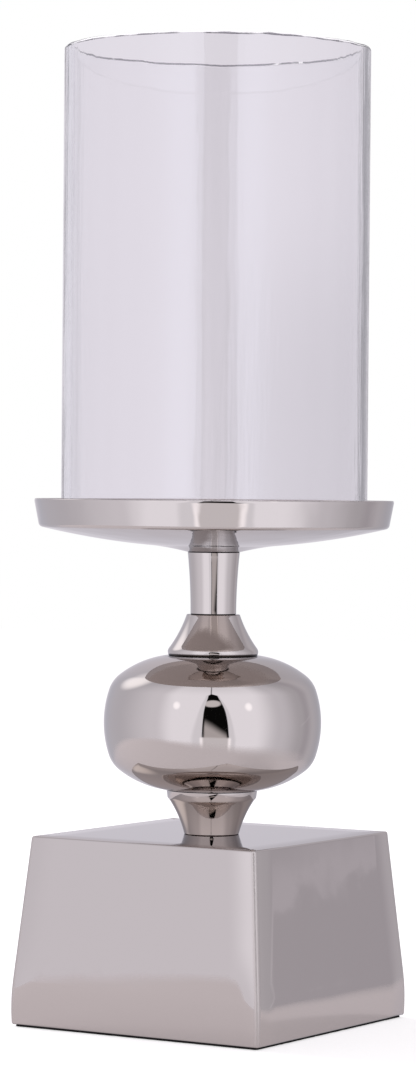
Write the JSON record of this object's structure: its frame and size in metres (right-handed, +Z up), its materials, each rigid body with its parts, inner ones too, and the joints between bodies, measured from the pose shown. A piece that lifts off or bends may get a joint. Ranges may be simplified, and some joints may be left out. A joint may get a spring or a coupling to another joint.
{
  "type": "candle lamp",
  "caption": "Tall table lamp for a pillar candle: a clear glass cylinder stands in a round drip plate, on a turned metal stem with a flattened ball, over a square base with leaning flanks.",
  "frame": {"origin": "centre of the felt's underside, on the surface that the lamp stands on", "axes": "+Z up along the stem, X and Y along the sides of the square base"},
  "size_m": [0.1762, 0.1762, 0.4774],
  "materials": {
    "polished_nickel": "mirror polished nickel plate on cast aluminium, hand polished",
    "clear_glass": "clear, slightly wavy, with polished edges",
    "zinc_plate": "bright zinc plate",
    "black_paint": "satin black paint on sheet steel",
    "black_felt": "pressed felt"
  },
  "bodies": {
    "stand": {"drip_plate": "polished_nickel", "stem_sleeve": "polished_nickel", "shoulder_cone": "polished_nickel", "ball_shell": "polished_nickel", "lower_neck": "polished_nickel", "base_block": "polished_nickel", "tie_rod": "zinc_plate", "rod_washer": "zinc_plate", "lock_washer": "zinc_plate", "rod_nut": "zinc_plate", "cover_screws": "zinc_plate", "base_cover": "black_paint", "base_felt": "black_felt"},
    "shade": {"glass_shade": "clear_glass"}
  },
  "joints": [
    {"name": "shade_lift", "type": "slide", "parent": "stand", "child": "shade", "axis": [0, 0, 1], "range_m": [0, 0.24]}
  ]
}
